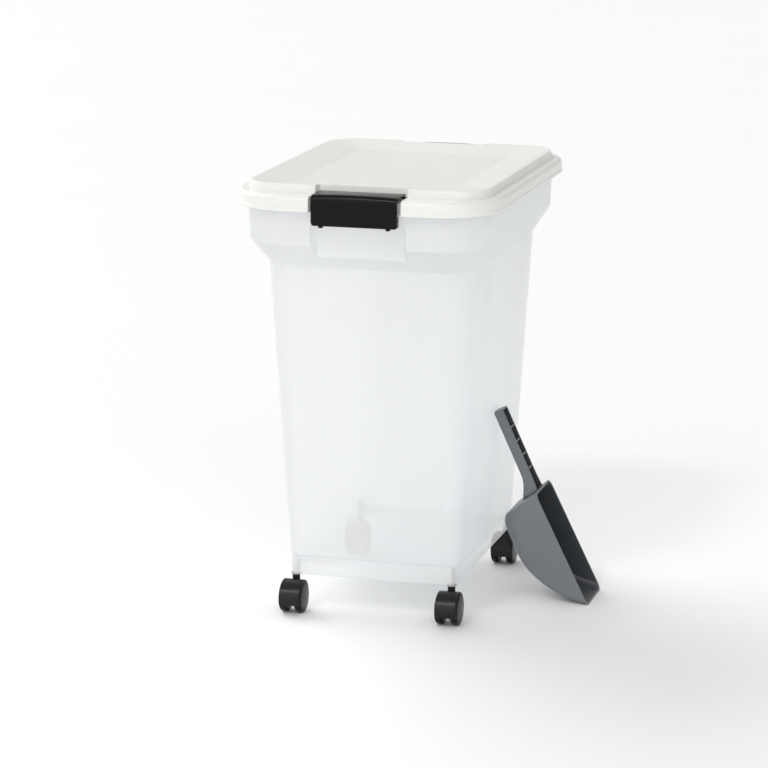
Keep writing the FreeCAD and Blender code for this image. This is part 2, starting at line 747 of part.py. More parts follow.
def make_handle():
    """A channel, open on the mouth's side, whose end follows the slope of the bowl's back wall."""
    body = new_body("handle_form")
    slope = "(scoop_depth / 4 / (scoop_rim + scoop_depth))"
    handle_side = [
        ("0", "0"),
        ("0", "-handle_depth"),
        ("scoop_back + (scoop_rim + handle_depth) * %s + scoop_wall / 2" % slope, "-handle_depth"),
        ("scoop_back + scoop_rim * %s + scoop_wall / 2" % slope, "0"),
    ]
    handle_profile = polygon_sketch(body, "handle_side", "XZ_Plane", handle_side)
    handle = pad(body, "handle_block", handle_profile, "handle_width", midplane=True)

    def handle_end_edge(edge):
        box = edge.BoundBox
        return box.XMax < 0.01 and (box.ZLength > 1 or box.ZMax < -1)
    round_edges(body, "handle_rounds", handle, "handle_round", handle_end_edge)
    channel = new_sketch(body, "channel_outline")
    draw_polygon(channel, [
        ("handle_round", "handle_wall - handle_width / 2"),
        ("scoop_back - handle_wall", "handle_wall - handle_width / 2"),
        ("scoop_back - handle_wall", "handle_width / 2 - handle_wall"),
        ("handle_round", "handle_width / 2 - handle_wall"),
    ])
    pocket = body.newObject("PartDesign::Pocket", "handle_channel")
    pocket.Profile = channel
    bind(pocket, Length="handle_depth - handle_wall")
    document.recompute()
    for number in range(RIB_COUNT):
        rib_x = "rib_start + %d * rib_pitch" % number
        rib = polygon_sketch(body, "rib_%d_outline" % number, "XY_Plane", [
            (rib_x, "handle_wall / 2 - handle_width / 2"),
            (rib_x + " + rib_thick", "handle_wall / 2 - handle_width / 2"),
            (rib_x + " + rib_thick", "handle_width / 2 - handle_wall / 2"),
            (rib_x, "handle_width / 2 - handle_wall / 2"),
        ], height="handle_wall / 2 - handle_depth")
        pad(body, "rib_%d" % number, rib, "handle_depth - handle_wall")
    return body


def make_scoop():
    """Drawn with X from the handle's end to the lip and Z out of the mouth, then leant."""
    bowl = cut("bowl", make_bowl_form("bowl_outer", "0", ""),
               make_bowl_form("bowl_inner", "scoop_wall", "scoop_tip + overcut"))
    scoop = fuse("scoop", [bowl, make_handle()])
    scoop.Label = "scoop"
    rise = "(scoop_length * sin(scoop_lean * 1deg) - scoop_tip * cos(scoop_lean * 1deg))"
    heel = "(%s - handle_depth * cos(scoop_lean * 1deg))" % rise
    wall_x = "(body_foot_x + (%s - body_foot) * %s)" % (heel, DRAFT)
    scoop.Placement = Placement(Vector(), Rotation(Vector(0, 1, 0), evaluate("scoop_lean")))
    # The handle's heel is rounded, so it meets the wall a little nearer than its corner would.
    heel_round = "handle_round * (sin(scoop_lean * 1deg) + cos(scoop_lean * 1deg) - 1)"
    reach = "handle_depth * sin(scoop_lean * 1deg) - " + heel_round
    bind(scoop, Placement__Base__x="%s + clearance + %s" % (wall_x, reach),
         Placement__Base__y="scoop_y", Placement__Base__z=rise, Placement__Rotation__Angle="scoop_lean")
    return scoop


def check(shapes):
    """Stop if any object failed or any sub-part's shape is not one sound set of solids."""
    for thing in document.Objects:
        if "Invalid" in thing.State or "Error" in thing.State:
            raise RuntimeError("%s failed: %s" % (thing.Label, thing.State))
    for piece in shapes:
        if piece.Shape.isNull() or not piece.Shape.isValid() or not piece.Shape.Solids:
            raise RuntimeError("%s has no sound shape" % piece.Label)


def main():
    pieces = [
        make_tub(),
        make_lid(),
        make_seal(),
        make_latch("front", 0),
        make_latch("rear", 180),
        make_latch_pin("front", FRONT),
        make_latch_pin("rear", REAR),
        make_scoop(),
    ]
    for side_y, end_word in ((FRONT, "front"), (REAR, "rear")):
        for side_x, side_word in ((-1, "left"), (1, "right")):
            pieces += make_caster("%s_%s_caster" % (end_word, side_word), side_x, side_y)
    document.recompute()
    check(pieces)
    os.makedirs("parts", exist_ok=True)
    for piece in pieces:
        piece.Shape.exportStep("parts/%s.step" % piece.Label)
        print("%-34s %d solid, %.1f cm3" % (piece.Label, len(piece.Shape.Solids),
                                             piece.Shape.Volume / 1000))


main()
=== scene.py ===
"""A rolling pet food bin: translucent tub, cream lid, black latches and casters, grey scoop.

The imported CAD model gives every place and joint. The pieces made here stand for its nodes
with softer edges and fuller surfaces. Lengths are metres, and MM turns millimetres to metres.
"""

import logging
import math
from dataclasses import dataclass
from enum import Enum
from typing import Sequence

import bmesh
import bpy
from mathutils import Matrix, Vector


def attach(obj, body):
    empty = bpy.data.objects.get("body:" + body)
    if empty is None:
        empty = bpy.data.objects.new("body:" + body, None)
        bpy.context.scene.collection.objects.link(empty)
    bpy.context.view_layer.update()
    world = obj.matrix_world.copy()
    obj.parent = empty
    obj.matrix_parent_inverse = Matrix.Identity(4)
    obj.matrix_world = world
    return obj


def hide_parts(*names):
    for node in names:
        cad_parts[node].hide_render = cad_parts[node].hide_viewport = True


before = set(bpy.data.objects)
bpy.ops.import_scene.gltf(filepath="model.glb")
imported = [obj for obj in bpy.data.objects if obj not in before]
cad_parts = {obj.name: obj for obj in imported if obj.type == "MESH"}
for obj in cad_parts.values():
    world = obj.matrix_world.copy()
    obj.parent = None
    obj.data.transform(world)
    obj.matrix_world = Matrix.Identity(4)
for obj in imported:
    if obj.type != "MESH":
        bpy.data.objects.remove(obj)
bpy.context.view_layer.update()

LOG = logging.getLogger("pet_food_bin")
MM = 0.001
QUARTER = math.pi / 2
MERGE = 0.000001
BEVEL_STEPS = 3
BAR_STEPS = 4


class End(Enum):
    """The two ends of the bin, by the sign of Y."""

    FRONT = -1
    REAR = 1


class Side(Enum):
    """The two sides of the bin, by the sign of X."""

    LEFT = -1
    RIGHT = 1


# ---- shader helpers ----

class Wire:
    """A socket in a node tree, whose arithmetic adds Math nodes."""

    def __init__(self, graph: "Graph", socket: bpy.types.NodeSocket) -> None:
        """Keep the graph and the socket."""
        self.graph = graph
        self.socket = socket

    def _math(self, operation: str, first: object, second: object) -> "Wire":
        """Add a Math node of an operation on two values or wires."""
        return self.graph.node("ShaderNodeMath", {"operation": operation}, {0: first, 1: second})

    def __add__(self, other: object) -> "Wire":
        """This wire plus a value or wire."""
        return self._math("ADD", self, other)

    __radd__ = __add__

    def __mul__(self, other: object) -> "Wire":
        """This wire times a value or wire."""
        return self._math("MULTIPLY", self, other)

    __rmul__ = __mul__


class Graph:
    """The node tree of one new material."""

    def __init__(self, name: str) -> None:
        """Make the material with an empty tree and its Object coordinates.

        Args:
            name: The material's name.
        """
        self.material = bpy.data.materials.new(name)
        self.material.use_nodes = True
        self.tree = self.material.node_tree
        self.tree.nodes.clear()
        self.place = self.node("ShaderNodeTexCoord", {}, {}, "Object")

    def node(self, kind: str, settings: dict[str, object], inputs: dict[object, object],
             output: object = 0) -> Wire | None:
        """Add a node.

        Args:
            kind: The node's type.
            settings: Its properties, which are set first.
            inputs: Values or wires for its sockets, by name or number.
            output: The name or number of the output to return.

        Returns:
            The chosen output, or None from a node without outputs.
        """
        made = self.tree.nodes.new(kind)
        for name, value in settings.items():
            setattr(made, name, value)
        for name, value in inputs.items():
            if isinstance(value, Wire):
                self.tree.links.new(value.socket, made.inputs[name])
            else:
                made.inputs[name].default_value = value
        return Wire(self, made.outputs[output]) if made.outputs else None

    def noise(self, scale: float, detail: float = 3.0, stretch: Sequence[float] = (1, 1, 1)) -> Wire:
        """Noise over Object coordinates, from 0 to 1, which a stretch can draw out along an axis."""
        turned = self.node("ShaderNodeMapping", {}, {"Vector": self.place, "Scale": stretch})
        return self.node("ShaderNodeTexNoise", {}, {"Vector": turned, "Scale": scale, "Detail": detail})

    def ramp(self, factor: Wire, low: float, high: float) -> Wire:
        """Carry a wire's span from low to high onto 0 to 1."""
        return self.node("ShaderNodeMapRange", {}, {"Value": factor, "From Min": low, "From Max": high})

    def blend(self, factor: object, first: Sequence[float], second: Sequence[float]) -> Wire:
        """Mix two colours by a factor."""
        settings = {"data_type": "RGBA"}
        return self.node("ShaderNodeMix", settings, {0: factor, 6: (*first, 1), 7: (*second, 1)}, 2)

    def bump(self, height: Wire, strength: float, distance: float) -> Wire:
        """A normal from a height, whose distance is in metres."""
        inputs = {"Height": height, "Strength": strength, "Distance": distance}
        return self.node("ShaderNodeBump", {}, inputs, "Normal")

    def finish(self, shader: Wire) -> bpy.types.Material:
        """Wire a shader to the output.

        Args:
            shader: The shader that the surface shows.

        Returns:
            The finished material.
        """
        self.node("ShaderNodeOutputMaterial", {}, {"Surface": shader})
        return self.material


# ---- finishes ----

@dataclass(frozen=True)
class Plastic:
    """A moulded plastic: its colour drifts a little, and its skin has a fine grain."""

    name: str
    colour: tuple[float, float, float]
    drift: tuple[float, float, float]
    roughness: float
    wear: float = 0.06
    grain: float = 900.0
    grain_depth: float = 0.00002
    subsurface: float = 0.0
    shine: float = 0.5

    def build(self) -> bpy.types.Material:
        """Make the material.

        Returns:
            A material with colour drift, uneven gloss and moulding grain.
        """
        graph = Graph(self.name)
        cloud = graph.ramp(graph.noise(9.0, 4.0), 0.3, 0.7)
        smear = graph.ramp(graph.noise(34.0, 6.0, (1.0, 1.0, 0.35)), 0.35, 0.75)
        colour = graph.blend(cloud, self.colour, self.drift)
        roughness = self.roughness + self.wear * smear
        grain = graph.noise(self.grain, 2.0)
        swell = graph.noise(14.0, 2.0)
        normal = graph.bump(grain + 6.0 * swell, 0.35, self.grain_depth)
        shader = graph.node("ShaderNodeBsdfPrincipled", {}, {
            "Base Color": colour, "Roughness": roughness, "Normal": normal, "IOR": 1.5,
            "Specular IOR Level": self.shine,
            "Subsurface Weight": self.subsurface, "Subsurface Radius": (0.006, 0.005, 0.004),
            "Subsurface Scale": 1.0})
        return graph.finish(shader)


@dataclass(frozen=True)
class Translucent:
    """The tub's milky plastic, which lets soft light and faint shapes through."""

    name: str
    colour: tuple[float, float, float]
    shade: tuple[float, float, float]
    roughness: float
    clear: float
    glow: float

    def build(self) -> bpy.types.Material:
        """Make the material.

        Returns:
            A mix of a satin skin, light passed through the wall, and a little clear view.
        """
        graph = Graph(self.name)
        flow = graph.ramp(graph.noise(3.0, 1.0, (1.0, 1.0, 0.4)), 0.25, 0.75)
        colour = graph.blend(flow, self.colour, self.shade)
        haze = graph.ramp(graph.noise(14.0, 3.0, (1.0, 1.0, 0.5)), 0.3, 0.8)
        roughness = self.roughness + 0.07 * haze
        grain = graph.noise(700.0, 2.0)
        swell = graph.noise(2.5, 0.0, (1.0, 1.0, 0.5))
        normal = graph.bump(grain + 20.0 * swell, 0.15, 0.00002)
        skin = graph.node("ShaderNodeBsdfPrincipled", {}, {
            "Base Color": colour, "Roughness": roughness, "Normal": normal, "IOR": 1.5})
        through = graph.node("ShaderNodeBsdfTranslucent", {}, {"Color": colour, "Normal": normal})
        passed = graph.node("ShaderNodeMixShader", {}, {0: self.glow, 1: skin, 2: through})
        clear = graph.node("ShaderNodeBsdfTransparent", {}, {"Color": (0.97, 0.98, 0.99, 1)})
        inner_skin = graph.node("ShaderNodeNewGeometry", {}, {}, "Backfacing")
        factor = self.clear + 0.04 * haze + inner_skin
        return graph.finish(graph.node("ShaderNodeMixShader", {}, {0: factor, 1: passed, 2: clear}))


@dataclass(frozen=True)
class Steel:
    """Drawn steel with fine lines along one axis."""

    name: str
    colour: tuple[float, float, float]
    lines: tuple[float, float, float]

    def build(self) -> bpy.types.Material:
        """Make the material.

        Returns:
            A metal whose gloss and height follow fine drawn lines.
        """
        graph = Graph(self.name)
        drawn = graph.noise(1200.0, 3.0, self.lines)
        colour = graph.blend(graph.ramp(drawn, 0.3, 0.7), self.colour, [0.8 * c for c in self.colour])
        normal = graph.bump(drawn, 0.3, 0.00002)
        return graph.finish(graph.node("ShaderNodeBsdfPrincipled", {}, {
            "Base Color": colour, "Roughness": 0.22 + 0.2 * drawn, "Metallic": 1.0, "Normal": normal}))


FINISHES = {
    "tub": Translucent("milky_tub", (0.935, 0.93, 0.922), (0.91, 0.912, 0.915), 0.28, 0.32, 0.48),
    "lid": Plastic("cream_lid", (0.79, 0.80, 0.765), (0.765, 0.775, 0.735), 0.32, subsurface=0.15),
    "latch": Plastic("black_latch", (0.004, 0.004, 0.0045), (0.007, 0.007, 0.0075), 0.16,
                     wear=0.1, shine=0.12),
    "caster": Plastic("black_caster", (0.007, 0.0075, 0.008), (0.012, 0.0125, 0.013), 0.26, shine=0.25),
    "wheel": Plastic("dark_wheel", (0.005, 0.005, 0.006), (0.012, 0.012, 0.012), 0.22,
                     wear=0.14, shine=0.15),
    "scoop": Plastic("grey_scoop", (0.148, 0.157, 0.168), (0.132, 0.141, 0.152), 0.34),
    # The scoop's inner finish is darker than its outside: painted shade for the shadow inside the bowl and
    # the channel.
    "scoop_painted_shade": Plastic("shaded_scoop", (0.055, 0.06, 0.065), (0.042, 0.047, 0.052), 0.3, shine=0.4),
    "gasket": Plastic("pale_seal", (0.62, 0.63, 0.62), (0.55, 0.56, 0.55), 0.55),
    "steel": Steel("drawn_steel", (0.55, 0.55, 0.56), (1.0, 1.0, 0.05)),
}


# ---- mesh helpers ----

SIDE_SHARES = (-0.66, -0.33, 0.0, 0.33, 0.66)


@dataclass(frozen=True)
class Section:
    """One level of a moulded shell: a rounded rectangle in plan at a height.

    In an end bay, the part of the outline near the middle of each end goes to
    bay_y and bay_z instead, where they are given.
    """

    half_x: float
    half_y: float
    corner: float
    z: float
    bay_y: float | None = None
    bay_z: float | None = None

    def outline(self, stations: Sequence[float], bay: float, arc_steps: int) -> list[Vector]:
        """The section's points, in metres, anticlockwise from the middle of the front's left.

        Args:
            stations: X places along the two ends, in millimetres.
            bay: Half the width of the end bays, in millimetres.
            arc_steps: How many steps each corner takes.

        Returns:
            One point for each vertex of the ring.
        """
        points = []
        centre_x = self.half_x - self.corner
        centre_y = self.half_y - self.corner
        for edge, (sign_x, sign_y) in enumerate(((1, -1), (1, 1), (-1, 1), (-1, -1))):
            if edge % 2 == 0:
                points += [self._end_point(sign_x * x, sign_y, bay) for x in stations]
            else:
                side = [sign_x * centre_y * share for share in SIDE_SHARES]
                points += [Vector((sign_x * self.half_x, y, self.z)) for y in side]
            corner_x = sign_x * centre_x
            corner_y = sign_y * centre_y
            for step in range(arc_steps + 1):
                angle = (edge - 1) * QUARTER + QUARTER * step / arc_steps
                points.append(Vector((corner_x + self.corner * math.cos(angle),
                                      corner_y + self.corner * math.sin(angle), self.z)))
        return [point * MM for point in points]

    def _end_point(self, x: float, sign: int, bay: float) -> Vector:
        """A point along one end, in its bay where it lies inside one.

        Args:
            x: The place along the end.
            sign: -1 for the front end and 1 for the rear.
            bay: Half the width of the end bays.

        Returns:
            The point, in millimetres.
        """
        if self.bay_y is None or abs(x) > bay:
            return Vector((x, sign * self.half_y, self.z))
        return Vector((x, sign * self.bay_y, self.z if self.bay_z is None else self.bay_z))


class Shell:
    """A mesh raised ring by ring, each ring extruded from the one before it."""

    def __init__(self) -> None:
        """Start with an empty mesh."""
        self.mesh = bmesh.new()
        self.slot = 0
        self.ring: list[bmesh.types.BMVert] = []
        self.edges: list[bmesh.types.BMEdge] = []

    def start(self, outline: Sequence[Vector]) -> None:
        """Draw the first ring.

        Args:
            outline: The ring's points, in order.
        """
        self.ring = [self.mesh.verts.new(point) for point in outline]
        pairs = [*zip(self.ring, self.ring[1:]), (self.ring[-1], self.ring[0])]
        self.edges = [self.mesh.edges.new(pair) for pair in pairs]

    def fill(self) -> None:
        """Close the present ring with one face."""
        for face in bmesh.ops.contextual_create(self.mesh, geom=self.edges)["faces"]:
            face.material_index = self.slot

    def rise(self, outline: Sequence[Vector]) -> None:
        """Extrude the present ring and carry the copy to a new outline.

        Args:
            outline: A point for each vertex of the ring.
        """
        result = bmesh.ops.extrude_edge_only(self.mesh, edges=self.edges)
        fresh = {item for item in result["geom"] if isinstance(item, bmesh.types.BMVert)}
        for item in result["geom"]:
            if isinstance(item, bmesh.types.BMFace):
                item.material_index = self.slot
        ring = []
        for vert in self.ring:
            ring.append(next(edge.other_vert(vert) for edge in vert.link_edges
                             if edge.other_vert(vert) in fresh))
        for vert, point in zip(ring, outline):
            vert.co = point
        self.ring = ring
        new = set(ring)
        self.edges = [item for item in result["geom"] if isinstance(item, bmesh.types.BMEdge)
                      and item.verts[0] in new and item.verts[1] in new]


def make_piece(mesh: bmesh.types.BMesh, name: str, finish: bpy.types.Material, sharp: float = 35.0,
               bevel: float = 0.0, outward: bool = True) -> bpy.types.Object:
    """Turn a bmesh into an object with smooth faces and softened edges.

    Args:
        mesh: The bmesh, which is freed.
        name: The object's name.
        finish: Its material.
        sharp: The angle, in degrees, over which an edge stays crisp or takes the bevel.
        bevel: The bevel's width in metres, or 0 for none.
        outward: Whether to turn the faces outwards.

    Returns:
        The new object.
    """
    bmesh.ops.remove_doubles(mesh, verts=mesh.verts, dist=MERGE)
    bmesh.ops.dissolve_degenerate(mesh, edges=mesh.edges, dist=MERGE)
    if outward:
        bmesh.ops.recalc_face_normals(mesh, faces=mesh.faces)
    data = bpy.data.meshes.new(name)
    mesh.to_mesh(data)
    mesh.free()
    data.polygons.foreach_set("use_smooth", [True] * len(data.polygons))
    piece = bpy.data.objects.new(name, data)
    bpy.context.scene.collection.objects.link(piece)
    data.materials.append(finish)
    if bevel:
        soften = piece.modifiers.new("soft_edges", "BEVEL")
        soften.width = bevel
        soften.segments = BEVEL_STEPS
        soften.limit_method = "ANGLE"
        soften.angle_limit = math.radians(sharp)
        soften.harden_normals = False
        weigh = piece.modifiers.new("even_shading", "WEIGHTED_NORMAL")
        weigh.keep_sharp = True
    else:
        data.set_sharp_from_angle(angle=math.radians(sharp))
    return piece


def add_box(mesh: bmesh.types.BMesh, low: Sequence[float], high: Sequence[float]) -> None:
    """Add a box.

    Args:
        mesh: The bmesh that takes the box.
        low: Its corner with the lowest X, Y and Z, in millimetres.
        high: Its opposite corner.
    """
    size = [(b - a) * MM for a, b in zip(low, high)]
    middle = [(a + b) / 2 * MM for a, b in zip(low, high)]
    place = Matrix.Translation(middle) @ Matrix.Diagonal((*size, 1))
    bmesh.ops.create_cube(mesh, size=1.0, matrix=place)


def spin_profile(mesh: bmesh.types.BMesh, profile: Sequence[tuple[float, float]], centre: Vector,
                 angle: float = 2 * math.pi, start: float = 0.0, steps: int = 48,
                 closed: bool = False) -> None:
    """Turn a profile about the X axis through a centre.

    Args:
        mesh: The bmesh that takes the shape.
        profile: Pairs of X and radius, in millimetres from the centre.
        centre: The centre, in metres.
        angle: How far the profile turns.
        start: The angle from +Z, towards -Y, at which it starts.
        steps: The number of steps of the turn.
        closed: Whether the profile's last point joins its first.
    """
    verts = [mesh.verts.new(centre + Vector((x * MM, -radius * MM * math.sin(start),
                                             radius * MM * math.cos(start)))) for x, radius in profile]
    pairs = list(zip(verts, verts[1:]))
    if closed:
        pairs.append((verts[-1], verts[0]))
    edges = [mesh.edges.new(pair) for pair in pairs]
    whole = abs(angle - 2 * math.pi) < 0.001
    result = bmesh.ops.spin(mesh, geom=verts + edges, cent=centre, axis=(1, 0, 0), angle=angle,
                            steps=steps, use_merge=whole)
    if not whole and closed:
        bmesh.ops.contextual_create(mesh, geom=edges)
        last = [item for item in result["geom_last"] if isinstance(item, bmesh.types.BMEdge)]
        bmesh.ops.contextual_create(mesh, geom=last)


def rounded_bar(half_width: float, radius: float, low: float, high: float) -> list[tuple[float, float]]:
    """A closed profile between two radii with rounded outer corners, for spin_profile.

    Args:
        half_width: Half the profile's length along X, in millimetres.
        radius: The rounding of its outer corners.
        low: The inner radius.
        high: The outer radius.

    Returns:
        Pairs of X and radius, in order.
    """
    angles = [QUARTER * step / BAR_STEPS for step in range(BAR_STEPS + 1)]
    straight = half_width - radius
    left = [(-straight - radius * math.cos(a), high - radius + radius * math.sin(a)) for a in angles]
    right = [(-x, r) for x, r in reversed(left)]
    return [(-half_width, low), *left, *right, (half_width, low)]


def dress(piece: bpy.types.Object, body: str, slot: str, *nodes: str) -> bpy.types.Object:
    """Ride a piece on a body and let it stand for CAD nodes.

    Args:
        piece: The piece.
        body: The body that carries it.
        slot: Its material's slot; not used.
        nodes: The CAD nodes that it replaces.

    Returns:
        The same piece.
    """
    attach(piece, body)
    if nodes:
        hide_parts(*nodes)
    LOG.info("%s rides on %s and stands for %s", piece.name, body, ", ".join(nodes) or "no node")
    return piece


# ---- the tub ----

@dataclass
class Tub:
    """The tub: a base, a flaring body, a wide collar with two finger bays, and four sockets."""

    stations: tuple[float, ...] = (-60.5, -57.0, -30.0, 0.0, 30.0, 57.0, 60.5)
    bay: float = 58.5
    arc_steps: int = 10
    socket_x: float = 103.5
    socket_y: float = 149.0
    socket_radius: float = 5.5
    socket_foot: float = 49.0
    socket_top: float = 72.5
    socket_segments: int = 32
    ledge_half_x: float = 50.0
    ledge_back: float = 219.5
    ledge_face: float = 229.8
    ledge_foot: float = 520.3
    ledge_top: float = 524.3

    def recess(self) -> list[Section]:
        """The recess under the floor, from its roof down to the foot."""
        return [Section(107.4, 153.4, 13.4, 60.0), Section(107.4, 153.4, 13.4, 49.0)]

    def outside(self) -> list[Section]:
        """The outer levels.

        Returns:
            The sections, from the foot to the rim.
        """
        return [
            Section(110.0, 156.0, 16.0, 49.0),
            Section(110.0, 156.0, 16.0, 73.0),
            Section(112.0, 158.0, 18.0, 75.0),
            Section(117.0, 163.4, 23.4, 151.0),
            Section(124.5, 171.5, 31.5, 266.0),
            Section(132.0, 179.6, 39.6, 381.0),
            Section(137.0, 185.0, 45.0, 458.0),
            Section(147.0, 203.0, 55.3, 474.5),
            Section(156.5, 220.0, 65.0, 490.0, 203.0),
            Section(157.5, 221.0, 66.0, 515.5, 203.0),
            Section(157.6, 221.1, 66.1, 518.0),
            Section(158.5, 222.0, 67.0, 543.0),
        ]

    def inside(self) -> list[Section]:
        """The inner levels.

        Returns:
            The sections, from the rim down to the floor.
        """
        return [
            Section(154.5, 218.0, 63.0, 543.0),
            Section(153.9, 217.4, 62.4, 526.0),
            Section(154.8, 218.3, 63.3, 523.0),
            Section(154.7, 218.2, 63.2, 520.6),
            Section(154.6, 218.1, 63.1, 518.0, 200.4),
            Section(153.9, 217.4, 62.4, 491.0, 200.4),
            Section(144.4, 200.4, 52.7, 475.6),
            Section(134.4, 182.4, 42.4, 459.0),
            Section(109.6, 155.6, 15.6, 76.0),
            Section(107.4, 153.4, 13.4, 73.5),
            Section(107.4, 153.4, 13.4, 63.0),
        ]

    def outline(self, section: Section) -> list[Vector]:
        """A section's points, with the tub's stations."""
        return section.outline(self.stations, self.bay, self.arc_steps)

    def build(self, finish: bpy.types.Material) -> bpy.types.Object:
        """Make the tub and ride it.

        Args:
            finish: The tub's material.

        Returns:
            The tub's object.
        """
        shell = Shell()
        roof, foot = self.recess()
        shell.start(self.outline(roof))
        shell.fill()
        for section in [foot, *self.outside(), *self.inside()]:
            shell.rise(self.outline(section))
        shell.fill()
        for side in Side:
            for end in End:
                self.add_socket(shell.mesh, side.value, end.value)
        for end in End:
            self.add_ledge(shell.mesh, end.value)
        piece = make_piece(shell.mesh, "tub_shell", finish, sharp=24.0, bevel=1.0 * MM)
        return dress(piece, "tub", "tub", "bin_tub")

    def add_socket(self, mesh: bmesh.types.BMesh, side: int, end: int) -> None:
        """Add the socket that takes one caster's stem.

        Args:
            mesh: The tub's bmesh.
            side: The sign of the socket's X.
            end: The sign of its Y.
        """
        middle = Vector((side * self.socket_x, end * self.socket_y,
                         (self.socket_foot + self.socket_top) / 2)) * MM
        height = (self.socket_top - self.socket_foot) * MM
        radius = self.socket_radius * MM
        bmesh.ops.create_cone(mesh, cap_ends=True, segments=self.socket_segments, radius1=radius,
                              radius2=radius, depth=height, matrix=Matrix.Translation(middle))

    def add_ledge(self, mesh: bmesh.types.BMesh, end: int) -> None:
        """Add the ledge under which one latch hooks.

        Args:
            mesh: The tub's bmesh.
            end: The sign of the ledge's Y.
        """
        faces = sorted((end * self.ledge_back, end * self.ledge_face))
        add_box(mesh, (-self.ledge_half_x, faces[0], self.ledge_foot),
                (self.ledge_half_x, faces[1], self.ledge_top))


# ---- the lid ----

@dataclass
class Lid:
    """The lid: a beaded skirt, a low tier, a raised deck with a dish, and a notch for each latch."""

    half_x: float = 171.5
    half_y: float = 235.0
    corner: float = 80.0
    stations: tuple[float, ...] = (-59.2, -57.4, -30.0, 0.0, 30.0, 57.4, 59.2)
    notch: float = 58.0
    arc_steps: int = 12
    skirt_back: float = 225.6
    shoulder: float = 6.0
    shoulder_steps: int = 6
    bead: float = 0.9
    notch_round: float = 1.2
    notch_top: float = 548.8
    tier_top: float = 554.0
    guide_outer: float = 9.7
    guide_inner: float = 12.7
    skirt_foot: float = 535.0
    guide_top: float = 551.2
    guide_notch_top: float = 548.5

    def inset(self, depth: float, z: float, notch_y: float | None = None,
              notch_z: float | None = None) -> Section:
        """The skirt's section drawn in by a depth."""
        return Section(self.half_x - depth, self.half_y - depth, self.corner - depth, z, notch_y, notch_z)

    def shoulder_levels(self) -> list[Section]:
        """The rounded edge between the tier and the skirt.

        Returns:
            The sections, from the tier down to the skirt.
        """
        levels = []
        for step in range(self.shoulder_steps + 1):
            angle = QUARTER * step / self.shoulder_steps
            depth = self.bead + (self.shoulder - self.bead) * (1 - math.sin(angle))
            z = self.tier_top - self.shoulder * (1 - math.cos(angle))
            notch_y = self.skirt_back - self.notch_round * (1 - math.sin(angle))
            notch_z = self.notch_top + self.notch_round * math.cos(angle)
            levels.append(self.inset(depth, z, notch_y, notch_z))
        return levels

    def levels(self) -> list[Section]:
        """Every level between the dish and the hollow under it.

        Returns:
            The sections, from the dish out to the skirt's foot and back under the dish.
        """
        back = self.skirt_back
        return [
            Section(105.9, 149.4, 11.4, 557.0),
            Section(107.1, 150.6, 12.6, 557.35),
            Section(108.3, 151.8, 13.8, 557.6),
            Section(148.6, 194.0, 36.0, 563.5, 185.8, 563.6),
            Section(149.9, 195.4, 37.4, 563.9, 186.4, 563.9),
            Section(150.9, 196.4, 38.4, 564.0, 187.0, 564.0),
            Section(154.6, 200.1, 42.1, 564.0, 188.7, 564.0),
            Section(155.5, 201.0, 43.0, 563.6, 189.5, 563.6),
            Section(158.5, 204.0, 46.0, 554.0, 191.0, 550.0),
            *self.shoulder_levels(),
            self.inset(self.bead, 539.6, back, 539.6),
            self.inset(0.25, 538.9, back, 538.9),
            self.inset(0.0, 537.9, back, 537.9),
            self.inset(0.0, 536.3, back, 536.3),
            self.inset(0.25, 535.4, back, 535.4),
            self.inset(self.bead, self.skirt_foot, back - 0.6, self.skirt_foot),
            self.inset(2.9, self.skirt_foot, back - 3.0, self.skirt_foot),
            self.inset(3.3, 547.5, back - 3.0, 545.0),
            self.inset(8.0, 551.0, back - 4.0, 547.0),
            Section(155.6, 201.1, 43.1, 551.0, 188.0, 547.0),
            Section(152.6, 198.1, 40.1, 561.0, 186.9, 559.2),
            Section(150.3, 195.8, 37.8, 561.0, 186.0, 559.2),
        ]

    def outline(self, section: Section) -> list[Vector]:
        """A section's points, with the lid's stations."""
        return section.outline(self.stations, self.notch, self.arc_steps)

    def build(self, finish: bpy.types.Material) -> bpy.types.Object:
        """Make the lid and ride it.

        Args:
            finish: The lid's material.

        Returns:
            The lid's object.
        """
        shell = Shell()
        shell.start(self.outline(Section(103.5, 147.0, 9.0, 557.0)))
        shell.fill()
        for section in self.levels():
            shell.rise(self.outline(section))
        shell.rise(self.outline(Section(106.7, 150.2, 12.2, 554.0)))
        shell.fill()
        self.add_guide(shell)
        piece = make_piece(shell.mesh, "lid_shell", finish, sharp=25.0, bevel=0.7 * MM)
        return dress(piece, "lid", "lid", "lid")

    def add_guide(self, shell: Shell) -> None:
        """Add the inner skirt that guides the lid onto the rim.

        Args:
            shell: The lid's shell.
        """
        outer, inner = self.guide_outer, self.guide_inner
        corners = ((outer, self.skirt_foot), (outer, self.guide_top),
                   (inner, self.guide_top), (inner, self.skirt_foot), (outer, self.skirt_foot))
        rings = [self.inset(depth, z, self.half_y - depth, min(z, self.guide_notch_top))
                 for depth, z in corners]
        shell.start(self.outline(rings[0]))
        for ring in rings[1:]:
            shell.rise(self.outline(ring))


# ---- the latches ----

